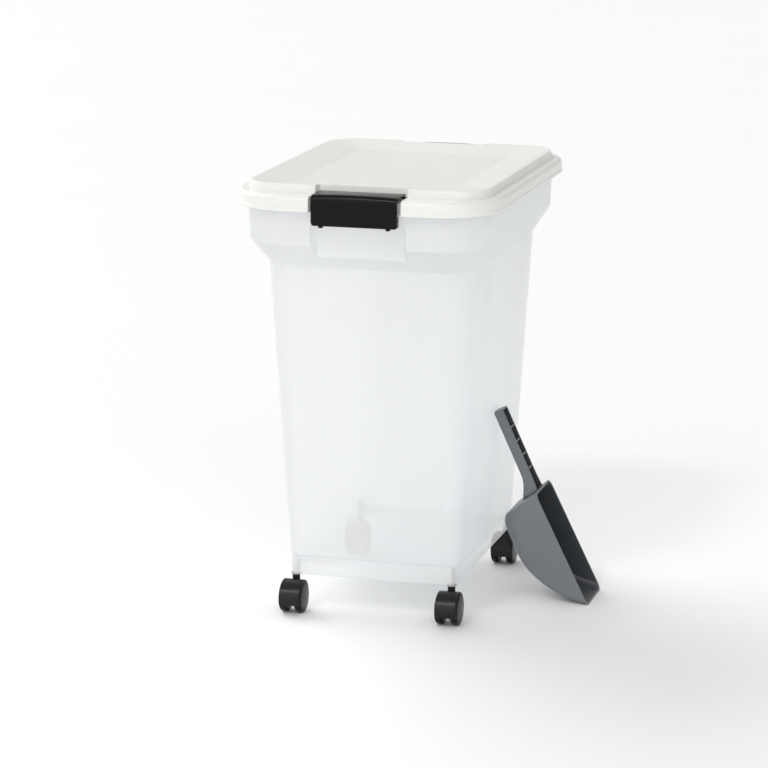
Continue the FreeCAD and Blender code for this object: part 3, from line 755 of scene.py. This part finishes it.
@dataclass
class Latch:
    """A flap that turns on a pin in the lid and hooks under the tub's ledge."""

    end: End
    half_x: float = 55.0
    pivot_y: float = 197.0
    pivot_z: float = 554.0
    barrel: float = 3.2
    face: float = 237.0
    thickness: float = 3.0
    bend: float = 7.0
    foot: float = 519.0
    foot_corner: float = 3.5
    foot_edge: float = 1.0
    support: float = 12.0
    bend_steps: int = 6
    barrel_steps: int = 12
    barrel_start: float = 0.06
    barrel_turn: float = 1.5
    crown: float = 1.2
    crown_run: float = 8.0
    crown_hold: float = 0.4
    stations: tuple[float, ...] = (0.0, 11.0, 22.0, 33.0, 44.0, 51.5, 52.8, 54.0, 55.0)
    cheek_x: tuple[float, float] = (51.6, 54.6)
    cheek_y: tuple[float, float] = (226.0, 235.0)
    cheek_z: tuple[float, float] = (520.4, 534.0)
    hook_x: float = 43.0
    hook_half: float = 2.6
    hook_y: tuple[float, float] = (230.2, 236.0)
    hook_z: tuple[float, float] = (516.6, 520.2)

    def profile(self, x: float) -> list[Vector]:
        """The flap's outline in side view at a place along X, in metres.

        Args:
            x: The place, in millimetres.

        Returns:
            One point for each vertex of the loop.
        """
        past = max(0.0, abs(x) - (self.half_x - self.foot_corner))
        foot = self.foot + self.foot_corner - math.sqrt(max(0.0, self.foot_corner ** 2 - past ** 2))
        lift = self.crown * (1 - (x / self.half_x) ** 2)
        top = self.pivot_z + self.barrel
        centre_y = self.face - self.bend
        centre_z = top - self.bend
        back = self.face - self.thickness
        angles = [QUARTER * step / self.bend_steps for step in range(self.bend_steps + 1)]
        outer = [(centre_y + self.bend * math.sin(a), centre_z + self.bend * math.cos(a)) for a in angles]
        hollow = self.bend - self.thickness
        inner = [(centre_y + hollow * math.sin(a), centre_z + hollow * math.cos(a))
                 for a in reversed(angles)]
        barrel = []
        for step in range(self.barrel_steps + 1):
            angle = math.pi * (self.barrel_start - self.barrel_turn * step / self.barrel_steps)
            barrel.append((self.pivot_y + self.barrel * math.cos(angle),
                           self.pivot_z + self.barrel * math.sin(angle)))
        middle_y = (self.pivot_y + centre_y) / 2
        points = [(middle_y - self.support, top), (middle_y, top), *outer, (self.face, foot + self.support),
                  (self.face, foot + self.foot_edge), (self.face - self.foot_edge, foot), (back, foot),
                  (back, foot + self.support), *inner, (middle_y, top - self.thickness), *barrel]
        placed = []
        for y, z in points:
            share = min(1.0, max(0.0, (y - self.pivot_y) / self.crown_run))
            fade = min(1.0, max(0.0, (z - centre_z) / self.bend + self.crown_hold))
            placed.append(Vector((x, self.end.value * y, z + lift * share * fade)) * MM)
        return placed

    def build(self, finish: bpy.types.Material) -> bpy.types.Object:
        """Make the latch and ride it.

        Args:
            finish: The latch's material.

        Returns:
            The latch's object.
        """
        stations = [*(-x for x in reversed(self.stations[1:])), *self.stations]
        shell = Shell()
        shell.start(self.profile(stations[0]))
        shell.fill()
        for x in stations[1:]:
            shell.rise(self.profile(x))
        shell.fill()
        for side in Side:
            self.add_cheek(shell.mesh, side.value)
            self.add_hook(shell.mesh, side.value)
        word = self.end.name.lower()
        piece = make_piece(shell.mesh, f"{word}_latch_flap", finish, sharp=38.0, bevel=0.5 * MM)
        return dress(piece, f"{word}_latch", "latch", f"{word}_latch")

    def _ends(self, near: float, far: float) -> tuple[float, float]:
        """Two distances from the middle as low and high Y at this end."""
        low, high = sorted((self.end.value * near, self.end.value * far))
        return low, high

    def add_cheek(self, mesh: bmesh.types.BMesh, side: int) -> None:
        """Add the web that stiffens one edge of the flap.

        Args:
            mesh: The latch's bmesh.
            side: The sign of the web's X.
        """
        low, high = self._ends(*self.cheek_y)
        x_low, x_high = sorted(side * x for x in self.cheek_x)
        add_box(mesh, (x_low, low, self.cheek_z[0]), (x_high, high, self.cheek_z[1]))

    def add_hook(self, mesh: bmesh.types.BMesh, side: int) -> None:
        """Add one of the two hooks under the flap.

        Args:
            mesh: The latch's bmesh.
            side: The sign of the hook's X.
        """
        low, high = self._ends(*self.hook_y)
        middle = side * self.hook_x
        add_box(mesh, (middle - self.hook_half, low, self.hook_z[0]),
                (middle + self.hook_half, high, self.hook_z[1]))


# ---- the scoop ----

@dataclass
class Scoop:
    """The scoop: a deep bowl with a lip, and a channelled handle with cross ribs."""

    origin: tuple[float, float, float] = (133.80, 5.0, 248.31)
    along: tuple[float, float, float] = (0.41787, 0.0, -0.90851)
    out: tuple[float, float, float] = (0.90851, 0.0, 0.41787)
    depth: float = 58.0
    back_rim: float = 115.0
    back_slant: float = 13.5
    lip: float = 277.0
    lip_draw: float = 87.0
    lip_z: float = 8.0
    lip_drop: float = 62.0
    rim_z: float = 4.0
    bow: float = 10.8
    bow_along: float = 0.5805
    bow_down: float = 0.8146
    side_draft: float = 1.2
    corner: float = 9.0
    corner_growth: float = 3.0
    half_width: float = 42.0
    wall: float = 2.4
    side_round: float = 12.0
    levels: int = 14
    level_power: float = 1.35
    handle_half: float = 12.0
    handle_depth: float = 13.0
    handle_wall: float = 2.2
    handle_end: float = 118.0
    root_start: float = 90.0
    root_flare: float = 0.9
    root_splay: float = 0.35
    root_gap: float = 1.8
    channel_stations: tuple[float, ...] = (-40.0, -20.0, 0.0, 20.0, 28.0, 34.0, 40.0, 45.0)
    spine_gap: float = 0.6
    rib_low: tuple[float, float, float] = (-1.0, -10.0, -11.2)
    rib_high: tuple[float, float, float] = (1.0, 10.0, -0.6)
    rib_places: tuple[float, ...] = (27.0, 46.5, 66.0, 85.5)

    def place(self) -> Matrix:
        """Where the scoop leans.

        Returns:
            The turn from its own axes (along, across, out of the mouth) to the frame.
        """
        along, out = Vector(self.along), Vector(self.out)
        across = out.cross(along)
        turn = Matrix((along, across, out)).transposed().to_4x4()
        return Matrix.Translation(Vector(self.origin) * MM) @ turn

    def bowl_ring(self, share: float, wall: float, arc_steps: int = 8) -> list[Vector]:
        """The bowl's ring at a share of its depth.

        Args:
            share: 0 at the rim and 1 at the bottom.
            wall: How far the ring is drawn in from the outside.
            arc_steps: The steps of each corner.

        Returns:
            The ring's points in the scoop's own axes, in metres.
        """
        down = max(0.0, self.depth * share - (self.depth - self.side_round))
        tuck = self.side_round - math.sqrt(max(0.0, self.side_round ** 2 - down ** 2))
        bow = 4 * self.bow * share * (1 - share)
        back = self.back_rim + self.back_slant * share + 0.8 * tuck + wall
        front = self.lip - self.lip_draw * share + bow * self.bow_along - wall - 0.3 * tuck
        low = self.lip_z - self.lip_drop * share - bow * self.bow_down
        high = self.rim_z - self.depth * share
        half = self.half_width - wall - tuck - self.side_draft * share
        corner = self.corner + self.corner_growth * share
        ring = []
        middle, reach = (back + front) / 2, (front - back) / 2
        for turn in range(4):
            sign_u = 1 if turn in (0, 3) else -1
            sign_y = 1 if turn in (0, 1) else -1
            for step in range(arc_steps + 1):
                angle = turn * QUARTER + QUARTER * step / arc_steps
                u = middle + sign_u * (reach - corner) + corner * math.cos(angle)
                y = sign_y * (half - corner) + corner * math.sin(angle)
                level = high + (low - high) * (u - back) / (front - back)
                ring.append(Vector((u, y, level + wall * share)) * MM)
            if turn in (0, 2):
                start = ring[-1]
                run = 2 * (reach - corner) * (-1 if turn == 0 else 1)
                for part in (0.25, 0.5, 0.75):
                    u = start.x + run * part * MM
                    level = (high + (low - high) * (u / MM - back) / (front - back)) * MM
                    ring.append(Vector((u, start.y, level + wall * share * MM)))
        return ring

    def build(self, finish: bpy.types.Material, inside: bpy.types.Material) -> bpy.types.Object:
        """Make the scoop and ride it.

        Args:
            finish: The scoop's material.
            inside: The darker material inside the bowl and the handle's channel, painted shade that stands
                in for the shadow there.

        Returns:
            The scoop's object.
        """
        shell = Shell()
        shares = [step / self.levels for step in range(self.levels + 1)]
        shares = [1 - (1 - share) ** self.level_power for share in shares]
        shell.start(self.bowl_ring(1.0, 0.0))
        shell.fill()
        for share in reversed(shares[:-1]):
            shell.rise(self.bowl_ring(share, 0.0))
        shell.rise(self.bowl_ring(shares[0], self.wall))
        # The bowl's inner faces take the second slot, whose darker colour is painted shade.
        shell.slot = 1
        for share in shares[1:]:
            shell.rise(self.bowl_ring(share, self.wall))
        shell.fill()
        shell.slot = 0
        self.add_handle(shell)
        for place in self.rib_places:
            add_box(shell.mesh, (place + self.rib_low[0], *self.rib_low[1:]),
                    (place + self.rib_high[0], *self.rib_high[1:]))
        bmesh.ops.transform(shell.mesh, matrix=self.place(), verts=shell.mesh.verts)
        piece = make_piece(shell.mesh, "scoop_body", finish, sharp=32.0, bevel=0.5 * MM)
        # The second slot holds the painted shade of the bowl's and channel's insides.
        piece.data.materials.append(inside)
        return dress(piece, "scoop", "scoop", "scoop")

    def root_bend(self, point: Vector) -> Vector:
        """Deepen and slant the handle's root, so that it flows into the bowl's back.

        Args:
            point: A point of the straight handle, in metres.

        Returns:
            The same point on the flared handle.
        """
        near = max(0.0, (point.x / MM - self.root_start) / (self.handle_end - self.root_start))
        depth = -point.z / MM
        deepened = depth * (1.0 + self.root_flare * near ** 2)
        slant = near ** 2 * (self.back_slant / self.depth * (self.rim_z + deepened) - self.root_gap)
        splay = 1.0 + self.root_splay * near ** 2
        return Vector((point.x + slant * MM, point.y * splay, -deepened * MM))

    def add_handle(self, shell: Shell) -> None:
        """Add the handle, whose channel opens on the mouth's side.

        Args:
            shell: The scoop's shell.
        """
        middle = self.handle_end / 2
        wall = self.handle_wall

        def ring(draw_in: float, level: float) -> list[Vector]:
            """The handle's outline at a level.

            Args:
                draw_in: How far it is drawn in, in millimetres.
                level: Its height on the scoop's third axis.

            Returns:
                The ring's points in the scoop's own axes, in metres.
            """
            plan = Section(middle - draw_in, self.handle_half - draw_in, max(0.2, 4.0 - draw_in), level)
            flat = plan.outline(self.channel_stations, 0.0, 6)
            return [self.root_bend(point + Vector((middle * MM, 0, 0))) for point in flat]

        spine = self.handle_half - self.spine_gap
        shell.start(ring(spine, -self.handle_depth))
        shell.fill()
        for draw_in, level in ((0.9, -self.handle_depth), (0.3, -self.handle_depth + 0.3),
                               (0.0, -self.handle_depth + 0.9), (0.0, -0.5), (0.4, 0.0), (wall - 0.4, 0.0)):
            shell.rise(ring(draw_in, level))
        # The channel's inner faces take the same slot of painted shade.
        shell.slot = 1
        for draw_in, level in ((wall, -0.5), (wall + 0.2, -self.handle_depth + wall),
                               (spine, -self.handle_depth + wall)):
            shell.rise(ring(draw_in, level))
        shell.fill()


# ---- the casters ----

@dataclass
class Caster:
    """A twin-wheel caster: a hood with a middle yoke, and a wheel on each side of it."""

    end: End
    side: Side
    stem_x: float = 103.5
    stem_y: float = 149.0
    trail: float = 12.0
    axle_z: float = 20.0
    wheel_radius: float = 20.0
    wheel_inner: float = 5.3
    wheel_outer: float = 16.0
    hood_inner: float = 20.6
    hood_outer: float = 22.6
    hood_half: float = 13.9
    hood_front: float = 0.38
    hood_edge: float = 1.4
    yoke_inset: float = 0.2
    yoke_width: float = 10.0
    yoke_drop: float = 7.0
    housing_foot: float = 34.0
    housing_radius: float = 5.0
    tread_round: float = 2.5
    axle_bore: float = 2.6
    dome: float = 0.9
    dome_steps: int = 6
    disc_radius: float = 16.6
    housing_top: float = 47.3

    @property
    def name(self) -> str:
        """The caster's name, as its CAD nodes have it."""
        return f"{self.end.name.lower()}_{self.side.name.lower()}_caster"

    @property
    def centre(self) -> Vector:
        """The middle of the axle, in metres."""
        return Vector((self.side.value * self.stem_x, self.end.value * self.stem_y - self.trail,
                       self.axle_z)) * MM

    def build(self, caster_finish: bpy.types.Material, wheel_finish: bpy.types.Material) -> None:
        """Make the hood and both wheels, and ride them.

        Args:
            caster_finish: The hood's material.
            wheel_finish: The wheels' material.
        """
        self.build_hood(caster_finish)
        for side in Side:
            self.build_wheel(side, wheel_finish)

    def build_hood(self, finish: bpy.types.Material) -> None:
        """Make the hood, its yoke and the housing round the stem."""
        mesh = bmesh.new()
        shell = rounded_bar(self.hood_half, self.hood_edge, self.hood_inner, self.hood_outer)
        sweep = math.pi + self.hood_front
        spin_profile(mesh, shell, self.centre, angle=sweep, start=-QUARTER, steps=36, closed=True)
        across = Matrix.Translation(self.centre) @ Matrix.Rotation(QUARTER, 4, "Y")
        radius = (self.hood_outer - self.yoke_inset) * MM
        bmesh.ops.create_cone(mesh, cap_ends=True, segments=64, radius1=radius, radius2=radius,
                              depth=self.yoke_width * MM, matrix=across)
        cut_z = (self.axle_z - self.yoke_drop) * MM
        whole = mesh.verts[:] + mesh.edges[:] + mesh.faces[:]
        result = bmesh.ops.bisect_plane(mesh, geom=whole, plane_co=(0, 0, cut_z), plane_no=(0, 0, -1),
                                        clear_outer=True)
        rim = [item for item in result["geom_cut"] if isinstance(item, bmesh.types.BMEdge)]
        bmesh.ops.contextual_create(mesh, geom=rim)
        stem = Vector((self.centre.x, self.centre.y + self.trail * MM, 0))
        foot, top = self.housing_foot, self.housing_top
        radius = self.housing_radius * MM
        matrix = Matrix.Translation(stem + Vector((0, 0, (foot + top) / 2 * MM)))
        bmesh.ops.create_cone(mesh, cap_ends=True, segments=40, radius1=radius, radius2=radius,
                              depth=(top - foot) * MM, matrix=matrix)
        piece = make_piece(mesh, f"{self.name}_cover", finish, sharp=35.0, bevel=0.5 * MM)
        dress(piece, self.name, "caster", f"{self.name}_hood")

    def wheel_profile(self) -> list[tuple[float, float]]:
        """The wheel's cut face on one side of its axis.

        Returns:
            Pairs of X and radius: an axle bore, a rounded tread and a domed outer disc.
        """
        half = (self.wheel_outer - self.wheel_inner) / 2
        face = half - self.dome
        bore = self.axle_bore
        round_in = rounded_bar(half, self.tread_round, bore, self.wheel_radius)[:BAR_STEPS + 2]
        round_out = [(-x - self.dome, radius) for x, radius in reversed(round_in[1:])]
        steps = self.dome_steps
        disc = [(face + self.dome * (1 - (step / steps) ** 2), self.disc_radius * step / steps)
                for step in range(steps, -1, -1)]
        rim = [(face + 0.02, 17.2), (face - 0.35, 17.0)]
        return [(face - 0.4, 0.0), (face - 0.4, bore), *round_in, *round_out, *rim, *disc]

    def build_wheel(self, side: Side, finish: bpy.types.Material) -> None:
        """Make one wheel, with its domed disc facing away from the yoke.

        Args:
            side: The wheel's side of the yoke.
            finish: The wheel's material.
        """
        mesh = bmesh.new()
        middle = (self.wheel_inner + self.wheel_outer) / 2
        centre = self.centre + Vector((side.value * middle * MM, 0, 0))
        profile = [(side.value * x, radius) for x, radius in self.wheel_profile()]
        spin_profile(mesh, profile, centre, steps=64)
        word = side.name.lower()
        piece = make_piece(mesh, f"{self.name}_{word}_tyre", finish, sharp=30.0)
        dress(piece, f"{self.name}_{word}_wheel", "wheel", f"{self.name}_{word}_wheel")


# ---- the room ----

@dataclass(frozen=True)
class Room:
    """The pale floor, the soft lights and the camera."""

    middle: tuple[float, float, float] = (0.0, 0.0, 0.282)
    azimuth: float = 15.8
    elevation: float = 12.7
    distance: float = 4.15
    shift_right: float = -0.027
    shift_up: float = -0.0098
    lens: float = 148.4
    floor_half: float = 30.0
    sky: float = 0.52

    def build(self) -> None:
        """Set the floor, the lights and the camera."""
        self.set_floor()
        bpy.context.scene.view_settings.view_transform = "Standard"
        self.set_world()
        self.add_sun("key", (-0.85, 0.55, 0.62), 1.9, 50.0)
        self.add_sun("fill", (0.1, -1.0, 0.55), 1.2, 70.0)
        self.add_sun("glint", (-0.35, -1.0, 1.1), 0.4, 9.0)
        self.set_camera()

    def set_floor(self) -> None:
        """Lay the floor."""
        mesh = bmesh.new()
        bmesh.ops.create_grid(mesh, x_segments=1, y_segments=1, size=self.floor_half)
        graph = Graph("pale_floor")
        shade = graph.blend(graph.noise(2.0), (0.90, 0.90, 0.90), (0.92, 0.92, 0.92))
        surface = graph.node("ShaderNodeBsdfPrincipled", {}, {"Base Color": shade, "Roughness": 0.55})
        floor = make_piece(mesh, "floor", graph.finish(surface), outward=False)

    def set_world(self) -> None:
        """Light the room evenly from all round."""
        world = bpy.data.worlds.new("soft_room")
        world.use_nodes = True
        sky = world.node_tree.nodes["Background"]
        sky.inputs["Color"].default_value = (1.0, 1.0, 1.0, 1.0)
        sky.inputs["Strength"].default_value = self.sky
        bpy.context.scene.world = world

    @staticmethod
    def add_sun(name: str, source: Sequence[float], strength: float, spread: float) -> None:
        """Add a distant light.

        Args:
            name: The light's name.
            source: The direction that it comes from.
            strength: Its power over each square metre.
            spread: The angle that it fills, in degrees.
        """
        data = bpy.data.lights.new(name, "SUN")
        data.energy = strength
        data.angle = math.radians(spread)
        lamp = bpy.data.objects.new(name, data)
        lamp.rotation_euler = Vector(source).to_track_quat("Z", "Y").to_euler()
        bpy.context.scene.collection.objects.link(lamp)

    def set_camera(self) -> None:
        """Set the camera, with no roll."""
        turn, rise = math.radians(self.azimuth), math.radians(self.elevation)
        back = Vector((math.sin(turn) * math.cos(rise), -math.cos(turn) * math.cos(rise), math.sin(rise)))
        right = Vector((math.cos(turn), math.sin(turn), 0))
        up = back.cross(right)
        data = bpy.data.cameras.new("camera")
        data.lens = self.lens
        data.sensor_width = 36.0
        data.clip_end = 200.0
        camera = bpy.data.objects.new("camera", data)
        facing = Matrix((right, up, back)).transposed().to_4x4()
        spot = Vector(self.middle) + right * self.shift_right + up * self.shift_up + back * self.distance
        camera.matrix_world = Matrix.Translation(spot) @ facing
        bpy.context.scene.collection.objects.link(camera)
        bpy.context.scene.camera = camera


def finish_cad_nodes(materials: dict[str, bpy.types.Material]) -> None:
    """Give the CAD nodes that still show their materials.

    Args:
        materials: The built finishes, by slot.
    """
    wanted = {"gasket": "gasket", "_pin": "steel", "_stem": "steel", "_axle": "steel"}
    for name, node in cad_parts.items():
        for word, slot in wanted.items():
            if name.endswith(word):
                for held in node.material_slots:
                    held.material = materials[slot]


def main() -> None:
    logging.basicConfig(level=logging.INFO, format="%(name)s: %(message)s")
    materials = {slot: finish.build() for slot, finish in FINISHES.items()}
    Tub().build(materials["tub"])
    Lid().build(materials["lid"])
    for end in End:
        Latch(end).build(materials["latch"])
    Scoop().build(materials["scoop"], materials["scoop_painted_shade"])
    for end in End:
        for side in Side:
            Caster(end, side).build(materials["caster"], materials["wheel"])
    finish_cad_nodes(materials)
    Room().build()


if __name__ == "__main__":
    main()
